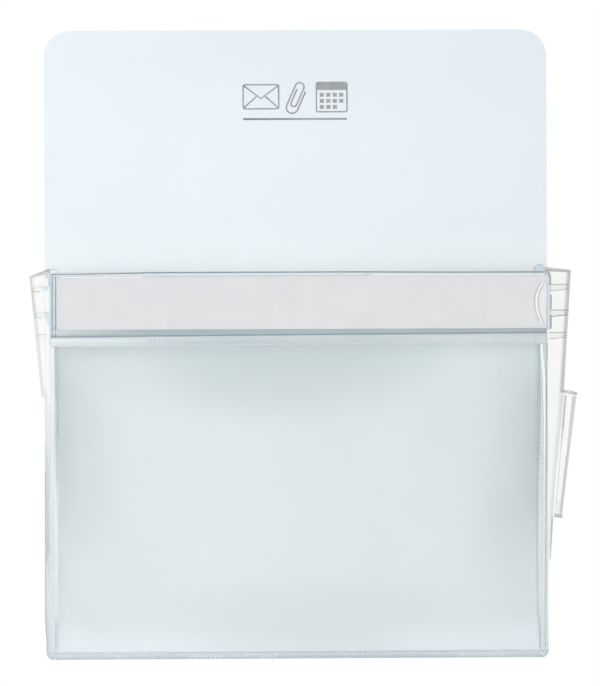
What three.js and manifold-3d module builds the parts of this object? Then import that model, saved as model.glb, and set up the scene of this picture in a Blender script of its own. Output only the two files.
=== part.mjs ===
// Magnetic document pocket for a steel wall or board.
// A white back sheet carries magnet strips behind and a clear film pocket in front. The pocket's front film
// swings on its bottom weld, its side gussets fold outward like bellows, and a label card slides in a window
// along the mouth.
// Millimetres, +Z up, the front faces -Y. The origin is the middle of the middle magnet's rear face.

import * as THREE from 'three';
import { mergeVertices } from 'three/addons/utils/BufferGeometryUtils.js';
import Module from 'manifold-3d';

const wasm = await Module();
wasm.setup();

// Back sheet
const BACK_WIDTH = 240;
const BACK_HEIGHT = 300;
const BACK_THICKNESS = 1;
const TOP_CORNER_RADIUS = 12.5;
const BOTTOM_CORNER_RADIUS = 3.5;

// Magnet strips and the tapes that bond them
const MAGNET_HEIGHT = 22;
const MAGNET_THICKNESS = 1;
const MAGNET_SIDE_MARGIN = 15;
const MAGNET_END_MARGIN = 14;
const MAGNET_CORNER_RADIUS = 2;
const TAPE_THICKNESS = 0.2;
const TAPE_INSET = 1;

// Pocket
const POCKET_SIDE_MARGIN = 2;
const POCKET_LENGTH = 181;
const MOUTH_DEPTH = 20.5;
const FRONT_FILM = 0.5;
const BOTTOM_WELD_HEIGHT = 3.7;
const SIDE_WELD_WIDTH = 4.2;
const SIDE_WELD_FILM = 0.3;
const SIDE_WELD_START = 6;

// Gussets
const GUSSET_REACH = 11;
const GUSSET_FILM = 0.4;
const GUSSET_START = 26;
const GUSSET_EAR = 1;
const GUSSET_DIP = 3.5;
const HEM_BAR_DROPS = [6.8, 18.5, 29.3];
const HEM_BAR_HEIGHT = 3;
const HEM_BAR_RISE = 0.3;
const HEM_BAR_END_MARGIN = 1.5;

// Label card and its window
const LABEL_HEIGHT = 25;
const LABEL_THICKNESS = 0.3;
const LABEL_CORNER_RADIUS = 1;
const LABEL_TOP_GAP = 1.6;
const LABEL_BOTTOM_GAP = 3;
const WINDOW_FILM = 0.4;
const WINDOW_END_MARGIN = 0.4;
const WINDOW_WELD_HEIGHT = 4.2;
const LABEL_STOP_WIDTH = 1.4;
const LABEL_STOP_INSET = 1;
const LABEL_END_GAP = 0.6;
const NOTCH_LENGTH = 21;
const NOTCH_DEPTH = 4.4;

// Pen sleeve, an oval tube that narrows to a flat weld
const SLEEVE_LENGTH = 59;
const SLEEVE_DROP = 58;
const SLEEVE_OVERHANG = 2.2;
const SLEEVE_LEAN = 6;
const SLEEVE_FILM = 0.3;
const SLEEVE_TOP_WIDTH = 7.2;
const SLEEVE_TOP_DEPTH = 7.2;
const SLEEVE_FOOT_WIDTH = 4.6;
const SLEEVE_FOOT_DEPTH = 3.6;
const SLEEVE_FOOT_WELD = 4;
const SLEEVE_SIDES = 24;
const SLEEVE_RINGS = 5;

// Gap between two pieces that touch
const SEAT = 0.3;
// Gap left at each gusset's middle crease, where the fold is open
const CREASE_GAP = 0.8;

// Planes and places that follow
const backFront = -(MAGNET_THICKNESS + TAPE_THICKNESS + BACK_THICKNESS);
const rearLeafY = backFront - SIDE_WELD_FILM;
const frontWeldRear = SEAT + SIDE_WELD_FILM;
const filmRearY = rearLeafY - SEAT - frontWeldRear;
const pocketHalf = BACK_WIDTH / 2 - POCKET_SIDE_MARGIN;
const foldZ = -BACK_HEIGHT / 2 + BOTTOM_WELD_HEIGHT + SEAT;
const tilt = Math.asin(MOUTH_DEPTH / POCKET_LENGTH);

// The two lines that a gusset's leaves fold on meet, in the side view, at the apex below the bottom fold.
// Distances along a leaf are measured from there.
const frontLineY = filmRearY + SEAT * Math.cos(tilt);
const frontLineZ = foldZ + SEAT * Math.sin(tilt);
const frontApexDrop = (rearLeafY - frontLineY) / Math.sin(tilt);
const apexZ = frontLineZ - frontApexDrop * Math.cos(tilt);
const leafMouth = frontApexDrop + POCKET_LENGTH;
const halfDepth = leafMouth * Math.tan(tilt / 2);
const leafAngle = Math.atan2(halfDepth, GUSSET_REACH);
const leafTaper = Math.hypot(halfDepth, GUSSET_REACH) / leafMouth;

const films = {
  sheet: material('#e6f0f5', 0.45),
  film: material('#dbe6e8', 0.15, 0.45),
  weld: material('#c9d6d9', 0.35, 0.7),
  gusset: material('#eef1ef', 0.15, 0.45),
  magnet: material('#3a3532', 0.8),
  tape: material('#e9dfc4', 0.6),
  card: material('#e1e2e6', 0.85),
};

function material(color, roughness, opacity = 1) {
  return new THREE.MeshStandardMaterial({ color, roughness, metalness: 0, opacity, transparent: opacity < 1 });
}

function toSolid(geometry) {
  const bare = geometry.index ? geometry.toNonIndexed() : geometry.clone();
  bare.deleteAttribute('normal');
  bare.deleteAttribute('uv');
  const merged = mergeVertices(bare, 1e-4);
  const vertProperties = new Float32Array(merged.attributes.position.array);
  const triVerts = new Uint32Array(merged.index.array);
  return new wasm.Manifold(new wasm.Mesh({ numProp: 3, vertProperties, triVerts }));
}

function toGeometry(solid) {
  const mesh = solid.getMesh();
  const geometry = new THREE.BufferGeometry();
  geometry.setAttribute('position', new THREE.BufferAttribute(new Float32Array(mesh.vertProperties), 3));
  geometry.setIndex(new THREE.BufferAttribute(new Uint32Array(mesh.triVerts), 1));
  geometry.computeVertexNormals();
  return geometry;
}

function joined(...geometries) {
  return toGeometry(geometries.map(toSolid).reduce((a, b) => a.add(b)));
}

function cutBy(geometry, tool) {
  return toGeometry(toSolid(geometry).subtract(toSolid(tool)));
}

function piece(parent, name, geometry, finish) {
  const mesh = new THREE.Mesh(geometry, finish);
  mesh.name = name;
  parent.add(mesh);
  return mesh;
}

// A box from its lowest to its highest corner
function block(x0, x1, y0, y1, z0, z1) {
  const geometry = new THREE.BoxGeometry(x1 - x0, y1 - y0, z1 - z0);
  return geometry.translate((x0 + x1) / 2, (y0 + y1) / 2, (z0 + z1) / 2);
}

// An upright sheet, drawn in X and Z, with its front face at frontY
function sheet(shape, frontY, thickness) {
  const geometry = new THREE.ExtrudeGeometry(shape, { depth: thickness, bevelEnabled: false, curveSegments: 10 });
  return geometry.rotateX(Math.PI / 2).translate(0, frontY + thickness, 0);
}

function roundedRectangle(x0, x1, z0, z1, topRadius, bottomRadius) {
  const shape = new THREE.Shape();
  const quarter = Math.PI / 2;
  shape.moveTo(x0 + bottomRadius, z0);
  shape.lineTo(x1 - bottomRadius, z0);
  shape.absarc(x1 - bottomRadius, z0 + bottomRadius, bottomRadius, -quarter, 0);
  shape.lineTo(x1, z1 - topRadius);
  shape.absarc(x1 - topRadius, z1 - topRadius, topRadius, 0, quarter);
  shape.lineTo(x0 + topRadius, z1);
  shape.absarc(x0 + topRadius, z1 - topRadius, topRadius, quarter, 2 * quarter);
  shape.lineTo(x0, z0 + bottomRadius);
  shape.absarc(x0 + bottomRadius, z0 + bottomRadius, bottomRadius, 2 * quarter, 3 * quarter);
  return shape;
}

function backSheet() {
  const w = BACK_WIDTH / 2;
  const h = BACK_HEIGHT / 2;
  const outline = roundedRectangle(-w, w, -h, h, TOP_CORNER_RADIUS, BOTTOM_CORNER_RADIUS);
  return sheet(outline, backFront, BACK_THICKNESS);
}

function magnetStrip(middleZ, inset, frontY, thickness) {
  const w = BACK_WIDTH / 2 - MAGNET_SIDE_MARGIN - inset;
  const h = MAGNET_HEIGHT / 2 - inset;
  const radius = MAGNET_CORNER_RADIUS;
  return sheet(roundedRectangle(-w, w, middleZ - h, middleZ + h, radius, radius), frontY, thickness);
}

function labelWindow() {
  const half = pocketHalf - WINDOW_END_MARGIN;
  const slotRear = -(FRONT_FILM + SEAT);
  const filmRear = slotRear - LABEL_THICKNESS - SEAT;
  const filmFront = filmRear - WINDOW_FILM;
  const labelTop = POCKET_LENGTH - LABEL_TOP_GAP;
  const weldTop = labelTop - LABEL_HEIGHT - LABEL_BOTTOM_GAP;
  const weldFoot = weldTop - WINDOW_WELD_HEIGHT;
  const lipUnder = POCKET_LENGTH + SEAT;
  const lipTop = lipUnder + WINDOW_FILM;

  // Side profile: weld band, window film, and the lip folded over the mouth edge
  const profile = new THREE.Shape();
  profile.moveTo(filmFront, weldFoot);
  profile.lineTo(slotRear, weldFoot);
  profile.lineTo(slotRear, weldTop);
  profile.lineTo(filmRear, weldTop);
  profile.lineTo(filmRear, lipUnder);
  profile.lineTo(0, lipUnder);
  profile.lineTo(0, lipTop);
  profile.lineTo(filmRear, lipTop);
  profile.absarc(filmRear, lipUnder, WINDOW_FILM, Math.PI / 2, Math.PI);
  const hook = new THREE.ExtrudeGeometry(profile, { depth: 2 * half, bevelEnabled: false, curveSegments: 6 });
  hook.applyMatrix4(new THREE.Matrix4().set(0, 0, 1, -half, 1, 0, 0, 0, 0, 1, 0, 0, 0, 0, 0, 1));

  const stopStart = -half + LABEL_STOP_INSET;
  const stopEnd = stopStart + LABEL_STOP_WIDTH;
  const stopFoot = weldTop - WINDOW_WELD_HEIGHT / 2;
  const stop = block(stopStart, stopEnd, filmFront + WINDOW_FILM / 2, slotRear, stopFoot, lipUnder - SEAT);

  const notchRadius = (NOTCH_LENGTH ** 2 / 4 + NOTCH_DEPTH ** 2) / (2 * NOTCH_DEPTH);
  const notch = new THREE.CylinderGeometry(notchRadius, notchRadius, 4 * (filmRear - filmFront), 72);
  notch.translate(half - NOTCH_DEPTH + notchRadius, (filmFront + filmRear) / 2, labelTop - LABEL_HEIGHT / 2);
  return cutBy(joined(hook, stop), notch);
}

function labelCard() {
  const windowHalf = pocketHalf - WINDOW_END_MARGIN;
  const left = -windowHalf + LABEL_STOP_INSET + LABEL_STOP_WIDTH + SEAT;
  const right = windowHalf - LABEL_END_GAP;
  const top = POCKET_LENGTH - LABEL_TOP_GAP;
  const radius = LABEL_CORNER_RADIUS;
  const outline = roundedRectangle(left, right, top - LABEL_HEIGHT, top, radius, radius);
  return sheet(outline, -(FRONT_FILM + SEAT + LABEL_THICKNESS), LABEL_THICKNESS);
}

// Width of a gusset leaf at a distance from the apex
function leafWidth(distance) {
  return leafTaper * distance - CREASE_GAP;
}

// One leaf lies in X and Z with its fold line on X = 0. side is 1 to the right, -1 to the left, and outside is
// the Y direction that its outer face looks to.
function gussetLeaf(side, outside) {
  const crest = leafMouth + GUSSET_EAR;
  const dip = leafMouth - GUSSET_DIP;
  const outline = new THREE.Shape();
  outline.moveTo(side * SEAT, GUSSET_START);
  outline.lineTo(side * leafWidth(GUSSET_START), GUSSET_START);
  outline.lineTo(side * leafWidth(dip), dip);
  outline.lineTo(side * SEAT, crest);
  const leaf = sheet(outline, -GUSSET_FILM / 2, GUSSET_FILM);
  const bars = HEM_BAR_DROPS.map((drop) => hemBar(side, outside, leafMouth - drop));
  return joined(leaf, ...bars);
}

// A raised weld line across a leaf, where the gusset's upper hem is welded down. It starts outside the back
// sheet's edge, so that the leaf can fold flat.
function hemBar(side, outside, top) {
  const foot = top - HEM_BAR_HEIGHT;
  const start = side * (POCKET_SIDE_MARGIN + SEAT);
  const end = side * (leafWidth(foot) - HEM_BAR_END_MARGIN);
  const faceY = outside * (GUSSET_FILM / 2 + HEM_BAR_RISE);
  const [x0, x1] = [Math.min(start, end), Math.max(start, end)];
  return block(x0, x1, Math.min(0, faceY), Math.max(0, faceY), foot, top);
}

// Oval rings from the foot weld up to the open top, then down inside to the foot weld's upper edge. The rear of
// every ring lies on the plane Y = 0.
function penSleeve() {
  const rings = [];
  for (let i = 0; i <= SLEEVE_RINGS; i += 1) {
    rings.push(sleeveRing((SLEEVE_LENGTH * i) / SLEEVE_RINGS, 0));
  }
  for (let i = SLEEVE_RINGS; i >= 0; i -= 1) {
    const inside = SLEEVE_LENGTH - SLEEVE_FOOT_WELD;
    rings.push(sleeveRing(SLEEVE_FOOT_WELD + (inside * i) / SLEEVE_RINGS, SLEEVE_FILM));
  }
  return loft(rings);
}

function sleeveRing(height, wall) {
  const share = height / SLEEVE_LENGTH;
  const width = SLEEVE_FOOT_WIDTH + (SLEEVE_TOP_WIDTH - SLEEVE_FOOT_WIDTH) * share;
  const depth = SLEEVE_FOOT_DEPTH + (SLEEVE_TOP_DEPTH - SLEEVE_FOOT_DEPTH) * share;
  const ring = [];
  for (let k = 0; k < SLEEVE_SIDES; k += 1) {
    const turn = (2 * Math.PI * k) / SLEEVE_SIDES;
    const x = (width / 2 - wall) * Math.cos(turn);
    const y = (depth / 2 - wall) * Math.sin(turn) - depth / 2;
    ring.push([x, y, height]);
  }
  return ring;
}

// A closed skin over rings of equal count, each end closed by a fan round its middle
function loft(rings) {
  const n = rings[0].length;
  const points = rings.flat();
  const faces = [];
  for (let r = 0; r + 1 < rings.length; r += 1) {
    for (let k = 0; k < n; k += 1) {
      const a = r * n + k;
      const b = r * n + ((k + 1) % n);
      faces.push(a, b, b + n, a, b + n, a + n);
    }
  }
  const last = rings.length - 1;
  const middle = (ring) => [0, 1, 2].map((axis) => ring.reduce((sum, p) => sum + p[axis], 0) / n);
  points.push(middle(rings[0]), middle(rings[last]));
  for (let k = 0; k < n; k += 1) {
    const next = (k + 1) % n;
    faces.push(rings.length * n, next, k);
    faces.push(rings.length * n + 1, last * n + k, last * n + next);
  }
  const geometry = new THREE.BufferGeometry();
  geometry.setAttribute('position', new THREE.BufferAttribute(new Float32Array(points.flat()), 3));
  geometry.setIndex(faces);
  geometry.computeVertexNormals();
  return geometry;
}

const pocket = new THREE.Group();

// Rear: magnets, tapes and back sheet, face to face
piece(pocket, 'back_sheet', backSheet(), films.sheet);
const magnetRow = BACK_HEIGHT / 2 - MAGNET_END_MARGIN - MAGNET_HEIGHT / 2;
const magnetRows = { upper: magnetRow, middle: 0, lower: -magnetRow };
for (const [row, z] of Object.entries(magnetRows)) {
  const tapeRear = -MAGNET_THICKNESS;
  piece(pocket, `${row}_magnet`, magnetStrip(z, 0, tapeRear, MAGNET_THICKNESS), films.magnet);
  const tape = magnetStrip(z, TAPE_INSET, tapeRear - TAPE_THICKNESS, TAPE_THICKNESS);
  piece(pocket, `${row}_tape`, tape, films.tape);
}

// Weld bands on the back sheet
const weldFoot = -BACK_HEIGHT / 2;
const weldRise = weldFoot + BOTTOM_WELD_HEIGHT;
const bottomWeld = block(-pocketHalf, pocketHalf, filmRearY, backFront, weldFoot, weldRise);
piece(pocket, 'bottom_weld', bottomWeld, films.weld);

// Everything that swings with the front film stands in its tilted frame, Z up along the film
const front = new THREE.Group();
front.position.set(0, filmRearY, foldZ);
front.rotation.x = tilt;
pocket.add(front);
piece(front, 'front_film', block(-pocketHalf, pocketHalf, -FRONT_FILM, 0, 0, POCKET_LENGTH), films.film);
piece(front, 'label_window', labelWindow(), films.film);
piece(front, 'label_card', labelCard(), films.card);

for (const [name, side] of [['left', -1], ['right', 1]]) {
  const outer = side * pocketHalf;
  const inner = side * (pocketHalf - SIDE_WELD_WIDTH);
  const [x0, x1] = [Math.min(outer, inner), Math.max(outer, inner)];
  const rearWeld = block(x0, x1, rearLeafY, backFront, foldZ + SIDE_WELD_START, foldZ + POCKET_LENGTH);
  piece(pocket, `${name}_rear_weld`, rearWeld, films.weld);
  const frontWeld = block(x0, x1, SEAT, frontWeldRear, SIDE_WELD_START, POCKET_LENGTH);
  piece(front, `${name}_front_weld`, frontWeld, films.weld);

  const rearLeaf = new THREE.Group();
  rearLeaf.position.set(outer, rearLeafY, apexZ);
  rearLeaf.rotation.z = -side * leafAngle;
  pocket.add(rearLeaf);
  piece(rearLeaf, `${name}_gusset_rear_leaf`, gussetLeaf(side, 1), films.gusset);

  const frontLeaf = new THREE.Group();
  frontLeaf.position.set(outer, SEAT, -frontApexDrop);
  frontLeaf.rotation.z = side * leafAngle;
  front.add(frontLeaf);
  piece(frontLeaf, `${name}_gusset_front_leaf`, gussetLeaf(side, -1), films.gusset);

  if (side === 1) {
    // The sleeve leans outward with the crease
    const sleeveFoot = leafMouth - SLEEVE_DROP - SLEEVE_LENGTH;
    const sleeve = piece(frontLeaf, 'pen_sleeve', penSleeve(), films.gusset);
    sleeve.position.set(leafWidth(sleeveFoot) + SLEEVE_OVERHANG, -GUSSET_FILM / 2 - SEAT, sleeveFoot);
    sleeve.rotation.y = THREE.MathUtils.degToRad(SLEEVE_LEAN);
  }
}

export default pocket;
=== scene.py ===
"""Magnetic document pocket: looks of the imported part.

Films are single see-through surfaces, and the lines along their edges and welds are thin opaque beads.
"""
import math

import bpy
from mathutils import Matrix, Vector

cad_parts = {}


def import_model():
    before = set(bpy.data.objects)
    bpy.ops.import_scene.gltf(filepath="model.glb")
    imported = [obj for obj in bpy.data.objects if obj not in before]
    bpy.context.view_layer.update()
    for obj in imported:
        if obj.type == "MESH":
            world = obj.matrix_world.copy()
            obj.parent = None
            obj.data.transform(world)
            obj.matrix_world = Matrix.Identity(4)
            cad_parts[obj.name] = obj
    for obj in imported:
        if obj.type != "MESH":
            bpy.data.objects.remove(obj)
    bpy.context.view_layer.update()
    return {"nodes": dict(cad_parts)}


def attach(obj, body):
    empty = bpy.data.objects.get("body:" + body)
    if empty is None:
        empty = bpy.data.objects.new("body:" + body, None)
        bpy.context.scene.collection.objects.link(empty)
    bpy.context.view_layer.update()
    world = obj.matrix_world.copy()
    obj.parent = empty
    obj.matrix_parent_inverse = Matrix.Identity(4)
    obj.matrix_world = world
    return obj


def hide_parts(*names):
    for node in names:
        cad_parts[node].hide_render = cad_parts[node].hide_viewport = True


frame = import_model()

MM = 0.001
FRONTWARD = (0, -1, 0)
REARWARD = (0, 1, 0)
UPWARD = (0, 0, 1)
SIDES = ((-1, "left"), (1, "right"))

# The part's own sizes, in millimetres. A place along the front film is s, and one along a gusset leaf is d.
BACK_FRONT = -2.2            # y of the sheet's front face
POCKET_HALF = 118.0          # x of the gussets' fold lines
FILM_Y = -3.4                # the front film's hinge
FOLD_Z = -146.0
POCKET_LENGTH = 181.0
MOUTH_DEPTH = 20.5
TILT = math.asin(MOUTH_DEPTH / POCKET_LENGTH)
APEX_Z = -151.2464           # where a gusset's fold lines meet
FRONT_APEX_DROP = 5.3146     # the same place below the hinge, along the front film
REAR_LEAF_Y = -2.5
FRONT_SEAT = 0.3             # the front fold line behind the front film
LEAF_MOUTH = 186.315
LEAF_CREST = 187.3           # top of the leaves' film at the fold lines
GUSSET_REACH = 11.0
HALF_DEPTH = LEAF_MOUTH * math.tan(TILT / 2)
LEAF_ANGLE = math.atan2(HALF_DEPTH, GUSSET_REACH)
LEAF_TAPER = math.hypot(HALF_DEPTH, GUSSET_REACH) / LEAF_MOUTH
CREASE_GAP = 0.8             # the solid leaves end this far from the crease


# ---------------------------------------------------------------- geometry

BEAD_SIDES = 8


def smooth(t):
    """0 below 0, 1 above 1, and an even curve between them."""
    t = max(0.0, min(1.0, t))
    return t * t * (3 - 2 * t)


def spread(a, b, n):
    """n even places from a to b."""
    return [a + (b - a) * i / (n - 1) for i in range(n)]


def along_path(knots, s):
    """A value that runs smoothly between knots of (s, value), s rising."""
    if s <= knots[0][0]:
        return knots[0][1]
    for (s0, v0), (s1, v1) in zip(knots, knots[1:]):
        if s <= s1:
            return v0 + (v1 - v0) * smooth((s - s0) / (s1 - s0))
    return knots[-1][1]


def front_at(x, y, s):
    """A point of the front film's tilted frame: s runs up along the film, y towards the rear."""
    c, n = math.cos(TILT), math.sin(TILT)
    return Vector((x, FILM_Y + y * c - s * n, FOLD_Z + y * n + s * c))


class Skin:
    """Points and faces of one piece, with a material for each face."""

    def __init__(self):
        self.points = []
        self.faces = []
        self.looks = []

    def grid(self, rows, look=None, loop=False, zone=None):
        """Quads over rows of points. zone(i, k) picks a quad's material where it isn't the same for all."""
        base = len(self.points)
        n = len(rows[0])
        for row in rows:
            self.points.extend(row)
        for i in range(len(rows) - 1):
            for k in range(n if loop else n - 1):
                a = base + i * n + k
                b = base + i * n + (k + 1) % n
                self.faces.append((a, b, b + n, a + n))
                self.looks.append(zone(i, k) if zone else look)
        return base

    def tube(self, rings, look):
        """Quads over closed rings of points, with a face at each end."""
        base = self.grid(rings, look, loop=True)
        n = len(rings[0])
        last = base + (len(rings) - 1) * n
        self.faces.append(tuple(range(base, base + n)))
        self.faces.append(tuple(reversed(range(last, last + n))))
        self.looks.extend([look, look])

    def bead(self, path, half_width, half_height, look, out=FRONTWARD):
        """A closed ridge of oval section along a path. out is its height direction."""
        path = [Vector(p) for p in path]
        turns = [2 * math.pi * k / BEAD_SIDES for k in range(BEAD_SIDES)]
        rings = []
        for i, p in enumerate(path):
            ahead = path[min(i + 1, len(path) - 1)] - path[max(i - 1, 0)]
            across = ahead.cross(Vector(out)).normalized()
            up = across.cross(ahead).normalized()
            rings.append([
                p + across * (half_width * math.cos(t)) + up * (half_height * math.sin(t)) for t in turns
            ])
        self.tube(rings, look)

    def upright(self, x_at, y, a, b, n, half_width, half_height, look):
        """A bead of n points up along the front film, from s = a to b, at x_at(s)."""
        self.bead([front_at(x_at(s), y, s) for s in spread(a, b, n)], half_width, half_height, look)

    def level(self, s_at, y, a, b, n, half_width, half_height, look):
        """A bead of n points across the front film, from x = a to b, at s_at(x)."""
        self.bead([front_at(x, y, s_at(x)) for x in spread(a, b, n)], half_width, half_height, look)

    def piece(self, name, body, slot, *nodes, flat=False):
        """The finished piece, which rides a body and stands for the CAD nodes it is given."""
        mesh = bpy.data.meshes.new(name)
        mesh.from_pydata([tuple(p * MM) for p in self.points], [], self.faces)
        used = list(dict.fromkeys(self.looks))
        for material in used:
            mesh.materials.append(material)
        for polygon, look in zip(mesh.polygons, self.looks):
            polygon.material_index = used.index(look)
            polygon.use_smooth = not flat
        mesh.update()
        obj = bpy.data.objects.new(name, mesh)
        bpy.context.scene.collection.objects.link(obj)
        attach(obj, body)
        if nodes:
            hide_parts(*nodes)


# ---------------------------------------------------------------- materials

WHITE = (1.0, 1.0, 1.0)


class Nodes:
    """The node tree of a material or world, with short ways to add and join nodes."""

    def __init__(self, owner, output="OutputMaterial"):
        self.owner = owner
        owner.use_nodes = True
        self.tree = owner.node_tree
        self.tree.nodes.clear()
        self.out = self.add(output)

    def add(self, kind, **values):
        """A new node. Each value is set on the node itself, or else on its input of that name."""
        node = self.tree.nodes.new("ShaderNode" + kind)
        for key, value in values.items():
            if hasattr(node, key):
                setattr(node, key, value)
            else:
                self.put(node.inputs[key.replace("_", " ")], value)
        return node

    def put(self, socket, value):
        """Links a socket to another one, or sets its value."""
        if isinstance(value, bpy.types.NodeSocket):
            self.tree.links.new(value, socket)
        elif isinstance(value, tuple) and len(value) == 3 and socket.type == "RGBA":
            socket.default_value = (*value, 1.0)
        else:
            socket.default_value = value

    def place(self):
        return self.add("TexCoord").outputs["Object"]

    def axis(self, letter):
        return self.add("SeparateXYZ", Vector=self.place()).outputs[letter]

    def noise(self, scale, detail, stretch=None):
        at = self.place()
        if stretch:
            at = self.add("Mapping", Vector=at, Scale=stretch).outputs[0]
        return self.add("TexNoise", Vector=at, Scale=scale, Detail=detail, Roughness=0.5).outputs[0]

    def span(self, value, a, b, to_a, to_b):
        """to_a where the value is a or less, to_b where it is b or more, and an even curve between them."""
        node = self.add("MapRange", Value=value, From_Min=a, From_Max=b, To_Min=to_a, To_Max=to_b)
        node.interpolation_type = "SMOOTHSTEP"
        return node.outputs[0]

    def sides(self, left, right):
        """One number for the part's left half and one for its right half."""
        return self.span(self.axis("X"), -0.01, 0.01, left, right)

    def maths(self, operation, *values):
        node = self.add("Math", operation=operation)
        for socket, value in zip(node.inputs, values):
            self.put(socket, value)
        return node.outputs[0]

    def plus(self, a, b):
        return self.maths("ADD", a, b)

    def minus(self, a, b):
        return self.maths("SUBTRACT", a, b)

    def times(self, a, b):
        return self.maths("MULTIPLY", a, b)

    def larger(self, a, b):
        return self.maths("MAXIMUM", a, b)

    def square(self, a):
        return self.maths("POWER", a, 2.0)

    def blend(self, share, a, b):
        """Two colours mixed by a share. The mix node's colour inputs are 6 and 7, and its colour output is 2."""
        node = self.add("Mix", data_type="RGBA")
        for number, value in ((0, share), (6, a), (7, b)):
            self.put(node.inputs[number], value)
        return node.outputs[2]

    def join(self, share, a, b):
        """Two shader nodes mixed by a share."""
        node = self.add("MixShader")
        for socket, value in zip(node.inputs, (share, a.outputs[0], b.outputs[0])):
            self.put(socket, value)
        return node

    def bump(self, height, strength, distance):
        return self.add("Bump", Height=height, Strength=strength, Distance=distance).outputs[0]

    def seen(self):
        """1 where a surface is looked at, directly or in a mirror or through a film, and 0 where it only lights."""
        path = self.add("LightPath").outputs
        return self.larger(path["Is Camera Ray"], self.larger(path["Is Glossy Ray"], path["Is Transmission Ray"]))

    def close(self, shader):
        self.put(self.out.inputs["Surface"], shader.outputs[0])
        return self.owner


def solid(name, dark, light, tone_scale, rough, grain_scale, grain, stretch=None, shade=None):
    """An opaque material: two tones mixed by a slow noise, roughness and bump from a fine grain.
    shade(nodes, tone) varies the tone over the piece."""
    n = Nodes(bpy.data.materials.new(name))
    slow = n.span(n.noise(tone_scale, 4.0, stretch), 0.3, 0.7, 0.0, 1.0)
    fine = n.noise(grain_scale, 2.0, stretch)
    tone = n.blend(slow, dark, light)
    return n.close(n.add(
        "BsdfPrincipled",
        Base_Color=shade(n, tone) if shade else tone,
        Roughness=n.span(fine, 0.3, 0.7, *rough),
        Normal=n.bump(fine, *grain),
    ))


def film(name, tint, base, haze, gloss=0.6, rough=(0.08, 0.16), shade=None, glare=None):
    """A see-through film: light passes with a tint, and a little of it scatters or glints at the surface.
    shade(nodes, tint) varies the tint over the film, and glare(nodes) is its least share of glint."""
    n = Nodes(bpy.data.materials.new(name))
    slow = n.noise(14.0, 3.0)
    fine = n.noise(2600.0, 2.0)
    pale = tuple(1 - (1 - c) * 0.75 for c in tint)
    passing = n.blend(n.span(slow, 0.3, 0.7, 0.0, 1.0), tint, pale)
    if shade:
        passing = shade(n, passing)
    waves = n.bump(slow, 0.12, 0.002)
    clear = n.add("BsdfTransparent", Color=passing)
    skin = n.add(
        "BsdfPrincipled",
        Base_Color=n.blend(n.span(fine, 0.3, 0.7, 0.0, 1.0), tuple(c * 0.97 for c in base), base),
        Roughness=n.span(fine, 0.3, 0.7, *rough),
        Normal=waves,
    )
    milky = n.join(n.span(fine, 0.2, 0.8, haze * 0.94, min(1.0, haze * 1.06)), clear, skin)
    # Both faces of a thin film glint alike, more so at a slant
    shine = n.add("BsdfGlossy", Color=WHITE, Roughness=rough[0], Normal=waves)
    slant = n.maths("POWER", n.add("LayerWeight", Blend=0.5).outputs["Facing"], 5.0)
    glint = n.maths("MULTIPLY_ADD", slant, 0.96 * gloss, 0.04 * gloss)
    if glare:
        glint = n.larger(glint, glare(n))
    return n.close(n.join(glint, milky, shine))


def edge(name, dark, light):
    """Cut edges and pressed lines of the film, where it is seen along its depth; the white ones are painted
    highlights.
    """
    return solid(name, dark, light, 160.0, (0.15, 0.3), 900.0, (0.1, 0.00005))


def sheet_painted_light(n, tone):
    """Painted shade makes the sheet a little deeper at its top, and a painted glow makes its front lighter above the
    mouth.
    """
    z = n.axis("Z")
    front = n.span(n.axis("Y"), -0.0021, -0.0017, 1.0, 0.0)
    tone = n.blend(n.span(z, 0.09, 0.14, 0.0, 0.25), tone, (0.70, 0.79, 0.85))
    painted_glow = n.times(n.span(z, 0.038, 0.060, 0.42, 0.0), n.span(z, 0.006, 0.030, 0.0, 1.0))
    return n.blend(n.times(painted_glow, front), tone, (0.95, 0.98, 1.0))


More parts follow.
